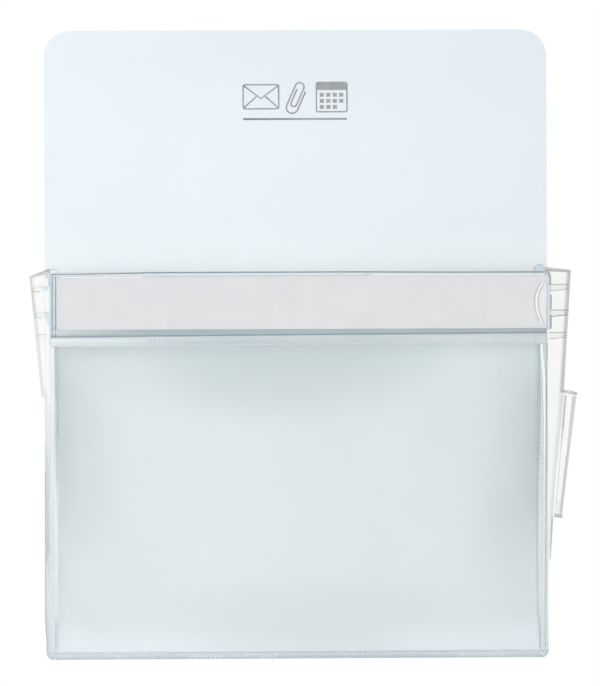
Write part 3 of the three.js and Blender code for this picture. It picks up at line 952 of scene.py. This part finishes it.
def reach(side, d):
    """How far the middle crease stands out from the fold lines, at a distance along the leaf."""
    plain = GUSSET_REACH * d / LEAF_MOUTH
    if side > 0:
        return max(LEAST_REACH, plain + 1.5 * smooth((d - 75) / 58))
    return max(LEAST_REACH, plain - min(4.2, 1.3 + 0.0395 * (LEAF_MOUTH - d)))


def crease_at(side, d):
    """A point of a gusset's middle crease."""
    return Vector((side * (POCKET_HALF + reach(side, d)), REAR_LEAF_Y - d * math.tan(TILT / 2), APEX_Z + d))


def fold_at(side, place, d):
    """A point of a leaf's fold line, on the back sheet or on the front film."""
    if place == "rear":
        return Vector((side * POCKET_HALF, REAR_LEAF_Y, APEX_Z + d))
    return front_at(side * POCKET_HALF, FRONT_SEAT, d - FRONT_APEX_DROP)


def leaf_width(side, place, d):
    """How far a leaf's fold line is from the crease."""
    return (crease_at(side, d) - fold_at(side, place, d)).length


def leaf_at(side, place, u, d, lift=0.0):
    """A point of a leaf: u from its fold line to the crease, lifted towards its outer side."""
    a = fold_at(side, place, d)
    along = crease_at(side, d) - a
    out = along.cross(Vector(UPWARD)).normalized()
    if (out.y < 0) != (place == "front"):
        out = -out
    slack = 0.3 * math.sin(math.pi * min(max(u, 0.0), 1.0)) * smooth((d - 40) / 100)
    return a + along * u + out * (lift - slack)


def crease_fin(skin, side, place, foot, top):
    """The film turns at the crease and lies doubled on the outer side of this leaf."""
    most, splay = (2.9, 0.4) if side > 0 else (2.5, 0.0)
    depths = spread(foot, top, 70)
    rows = []
    for d in depths:
        width = max(0.4, leaf_width(side, place, d))
        turn = min(most, 0.5 * width) * smooth((d - 38) / 20) + 0.05
        rows.append([leaf_at(side, place, 1 - turn * q / width, d, 0.14 + splay * max(0.0, q))
                     for q in (-0.06, 0.2, 0.45, 0.7, 1.0)])

    def left_zone(i, k):
        if depths[i] > 163 and k == 1:
            return CREASE
        return CREASE_PALE if depths[i] > 125 else FAINT

    def right_zone(i, k):
        if depths[i] > 127:
            return CREASE if k < 3 else CREASE_PALE
        if 44 < depths[i] < 66 and k < 2:
            return CREASE
        return CREASE_PALE if k < 3 else GUSSET

    skin.grid(rows, zone=right_zone if side > 0 else left_zone)


def left_gloss(skin):
    """On the left front leaf: a painted gloss beside its fold line, a short line and two blue patches at the upper
    hems.
    """
    side, place = -1, "front"
    rows = []
    for d in spread(122.0, 184.0, 40):
        most = 2.3 * smooth((d - 118) / 16) / reach(side, d)
        rows.append([leaf_at(side, place, most * t, d, 0.12) for t in (0.02, 0.35, 0.7, 1.0)])
    skin.grid(rows, SHINE)
    mark = spread(HEMS[1] - 3.2, HEMS[1] + 0.4, 8)
    skin.bead([leaf_at(side, place, 0.9, d, 0.2) for d in mark], 0.4, 0.2, LINE_SKY)
    for low, high, most in ((HEMS[0] - 1.6, HEMS[0] + 0.9, 0.62), (HEMS[1] - 7.5, HEMS[1] + 0.3, 0.36)):
        rows = []
        for d in spread(low, high, 6):
            last = most - 0.25 * (high - d) / (high - low)
            rows.append([leaf_at(side, place, u, d, 0.34) for u in spread(0.08, last, 5)])
        skin.grid(rows, BLUE)


def hems(skin, side, place):
    """Doubled strips of film across a leaf. The front leaves' hems also have their lines."""
    for crest, rise, (upper, lower) in zip(HEMS, HEM_RISES, RIGHT_TONES if side > 0 else LEFT_TONES):
        top = crest + rise
        foot = top - HEM_HEIGHT
        width = leaf_width(side, place, top)
        us = spread(2.6 / width, 1 - 0.3 / width, 12)
        if place == "front":
            skin.bead([leaf_at(side, place, u, top - 1.1 * u, 0.18) for u in us], 0.2, 0.2, upper)
            low_us = us if side > 0 else us[5:]
            skin.bead([leaf_at(side, place, u, foot, 0.18) for u in low_us], 0.2, 0.2, lower)
        skin.grid([[leaf_at(side, place, u, d, 0.3) for u in us] for d in spread(foot, top - 0.6, 4)], GUSSET)


def leaf(side, name, place):
    """One leaf of a gusset, from its slanted foot to the rolled edge at the mouth, with the doubled film and hems."""
    skin = Skin()
    dip = 185.6 if side > 0 else 183.6

    def top_at(u):
        return LEAF_CREST + (dip - LEAF_CREST) * u

    def foot_at(u):
        return FILM_START + FOOT_RISE * u

    us = spread(0.0, 1.0, 13)
    skin.grid([[leaf_at(side, place, u, foot_at(u) + (top_at(u) - foot_at(u)) * t) for u in us]
               for t in spread(0.0, 1.0, 70)], GUSSET)
    crease_fin(skin, side, "rear" if place == "front" else "front", foot_at(1.0), dip)
    if side < 0 and place == "front":
        left_gloss(skin)
    top_edge = [leaf_at(side, place, u, top_at(u)) for u in spread(0.0, 1.0, 14)]
    skin.bead(top_edge, 0.55, 0.32, LINE_FAINT, FRONTWARD if place == "front" else REARWARD)
    hems(skin, side, place)
    skin.piece(f"{name}_{place}_leaf_film", f"{name}_{place}_leaf", "clear_film", f"{name}_gusset_{place}_leaf")


for sign, word in SIDES:
    for place in ("rear", "front"):
        leaf(sign, word, place)


# ---------------------------------------------------------------- pen sleeve

SLEEVE_LENGTH = 59.0
SLEEVE_DROP = 58.0           # its top below the mouth
SLEEVE_FOOT = LEAF_MOUTH - SLEEVE_DROP - SLEEVE_LENGTH
SLEEVE_LEAN = math.radians(6)
SLEEVE_OVERHANG = 2.2        # its axis past the solid leaf's edge
SLEEVE_SEAT = 0.5            # its back from the leaf's middle plane
SLEEVE_FOOT_WIDTH = 4.6
SLEEVE_TOP_WIDTH = 7.1
SLEEVE_FOOT_DEPTH = 3.2
SLEEVE_TOP_DEPTH = 6.6
SLEEVE_EXTRA = 0.9           # how far the film reaches below the solid's foot
SLEEVE_SLANT = 0.22          # slope of the cut top
SLEEVE_FOLD = -0.63          # the turn, in radians, that its folds are placed from
SLEEVE_SIDES = 48
SLEEVE_ROWS = 40


def sleeve_at(x, y, z):
    """A point of the sleeve's frame: z up along the crease, y towards the leaf that carries it."""
    lean_c, lean_n = math.cos(SLEEVE_LEAN), math.sin(SLEEVE_LEAN)
    u = LEAF_TAPER * SLEEVE_FOOT - CREASE_GAP + SLEEVE_OVERHANG + x * lean_c + z * lean_n
    d = SLEEVE_FOOT - x * lean_n + z * lean_c
    v = y - SLEEVE_SEAT
    c, n = math.cos(LEAF_ANGLE), math.sin(LEAF_ANGLE)
    return front_at(POCKET_HALF + u * c - v * n, FRONT_SEAT + u * n + v * c, d - FRONT_APEX_DROP)


def sleeve_wall(share, turn, proud=0.0):
    """A point of the sleeve's tapered oval wall: share of its length, and turn about it."""
    width = SLEEVE_FOOT_WIDTH + (SLEEVE_TOP_WIDTH - SLEEVE_FOOT_WIDTH) * share + 2 * proud
    depth = SLEEVE_FOOT_DEPTH + (SLEEVE_TOP_DEPTH - SLEEVE_FOOT_DEPTH) * share + 2 * proud
    x = width / 2 * math.cos(turn)
    y = depth / 2 * math.sin(turn) - depth / 2 + proud
    return sleeve_at(x, y, -SLEEVE_EXTRA + (SLEEVE_LENGTH + SLEEVE_EXTRA) * share - SLEEVE_SLANT * x * share)


def pen_sleeve():
    """The film sleeve, closed at its foot and open at its top, with its folds and seams."""
    skin = Skin()

    def ring(share):
        return [sleeve_wall(share, 2 * math.pi * k / SLEEVE_SIDES) for k in range(SLEEVE_SIDES)]

    def zone(i, k):
        turn = 2 * math.pi * (k + 0.5) / SLEEVE_SIDES
        away = abs((turn - SLEEVE_FOLD + math.pi) % (2 * math.pi) - math.pi)
        if i < 1 or 0.6 < away < 1.15 and i < SLEEVE_ROWS - 2:
            return CREASE
        return CREASE_PALE if i < 5 or i > SLEEVE_ROWS - 3 or away < 0.6 else GUSSET

    skin.grid([ring(t) for t in spread(0.0, 1.0, SLEEVE_ROWS)], loop=True, zone=zone)
    foot = ring(0.0)
    middle = sum(foot, Vector()) / SLEEVE_SIDES
    skin.grid([[p.lerp(middle, share) for p in foot] for share in (0.0, 0.5, 0.98)], CREASE_PALE, loop=True)
    rim = ring(1.0)
    skin.bead(rim + rim[:1], 0.3, 0.3, LINE_FAINT, UPWARD)
    skin.bead(foot + foot[:1], 0.26, 0.3, LINE_FAINT, UPWARD)

    def seam(turn, a, b, n, half_width, half_height, look):
        path = [sleeve_wall(t, SLEEVE_FOLD + math.pi + turn, 0.05) for t in spread(a, b, n)]
        skin.bead(path, half_width, half_height, look)

    # A seam that widens into a grey streak, and a short one beside it
    seam(0.79, 0.1, 0.55, 20, 0.16, 0.16, LINE_FAINT)
    for a, b, half in ((0.54, 0.63, 0.2), (0.62, 0.71, 0.34), (0.7, 0.96, 0.48)):
        seam(0.79, a, b, 20, half, 0.16, LINE_GREY)
    seam(1.84, 0.04, 0.48, 30, 0.26, 0.12, LINE_FAINT)
    skin.piece("pen_sleeve_film", "right_front_leaf", "clear_film", "pen_sleeve")


pen_sleeve()


# ---------------------------------------------------------------- stage, light and camera

FLOOR_LEVEL = -0.6
FLOOR_RADIUS = 5.0
FLOOR_SIDES = 64
PHOTO_ROWS = 686
PHOTO_SCALE = 0.4775         # millimetres a pixel


def floor():
    """A pale round floor far below the part, which turns white with distance."""
    points = [(0.0, 0.0, FLOOR_LEVEL)]
    faces = []
    for i in range(FLOOR_SIDES):
        turn = 2 * math.pi * i / FLOOR_SIDES
        points.append((FLOOR_RADIUS * math.cos(turn), FLOOR_RADIUS * math.sin(turn), FLOOR_LEVEL))
        faces.append((0, i + 1, (i + 1) % FLOOR_SIDES + 1))
    mesh = bpy.data.meshes.new("floor")
    mesh.from_pydata(points, [], faces)
    obj = bpy.data.objects.new("floor", mesh)
    bpy.context.scene.collection.objects.link(obj)
    n = Nodes(bpy.data.materials.new("floor_pale"))
    away = n.maths("SQRT", n.plus(n.square(n.axis("X")), n.square(n.axis("Y"))))
    pale = n.add("BsdfPrincipled", Base_Color=(0.9, 0.9, 0.9), Roughness=0.8)
    white = n.add("Emission", Color=WHITE, Strength=1.0)
    share = n.times(n.span(away, 0.5, 1.8, 0.0, 1.0), n.seen())
    mesh.materials.append(n.close(n.join(share, pale, white)))


def world():
    """White where it is looked at, and a softer white as light."""
    scene = bpy.context.scene
    scene.world = bpy.data.worlds.new("studio")
    n = Nodes(scene.world, "OutputWorld")
    soft = n.add("Background", Color=WHITE, Strength=0.36)
    white = n.add("Background", Color=WHITE, Strength=1.0)
    n.close(n.join(n.seen(), soft, white))


def lamp(name, place, size, power):
    """A square lamp aimed at the part."""
    data = bpy.data.lights.new(name, "AREA")
    data.shape = "SQUARE"
    data.size = size
    data.energy = power
    obj = bpy.data.objects.new(name, data)
    obj.location = place
    obj.rotation_euler = (-Vector(place)).to_track_quat("-Z", "Y").to_euler()
    bpy.context.scene.collection.objects.link(obj)


def camera():
    """The photo's view: far away, a little from the left and a little rolled."""
    distance = 5.0
    azimuth = math.radians(-2.5)
    roll = math.radians(0.25)
    frame_height = PHOTO_ROWS * PHOTO_SCALE * MM
    aim = Vector((1.67, -2.2, 0.62)) * MM
    place = aim + distance * Vector((math.sin(azimuth), -math.cos(azimuth), 0))
    ahead = (aim - place).normalized()
    right = ahead.cross(Vector(UPWARD)).normalized()
    up = right.cross(ahead)
    up, right = up * math.cos(roll) + right * math.sin(roll), right * math.cos(roll) - up * math.sin(roll)
    data = bpy.data.cameras.new("camera")
    data.sensor_width = 36.0
    data.lens = data.sensor_width * distance / frame_height
    data.clip_end = 50.0
    obj = bpy.data.objects.new("camera", data)
    turn = Matrix((right, up, -ahead)).transposed()
    obj.matrix_world = Matrix.Translation(place) @ turn.to_4x4()
    bpy.context.scene.collection.objects.link(obj)
    bpy.context.scene.camera = obj


floor()
world()
lamp("key", (-1.2, -1.4, 0.2), 1.2, 8.6)
lamp("fill", (-0.5, -3.0, 0.4), 1.6, 32.0)
camera()
bpy.context.scene.view_settings.view_transform = "Standard"
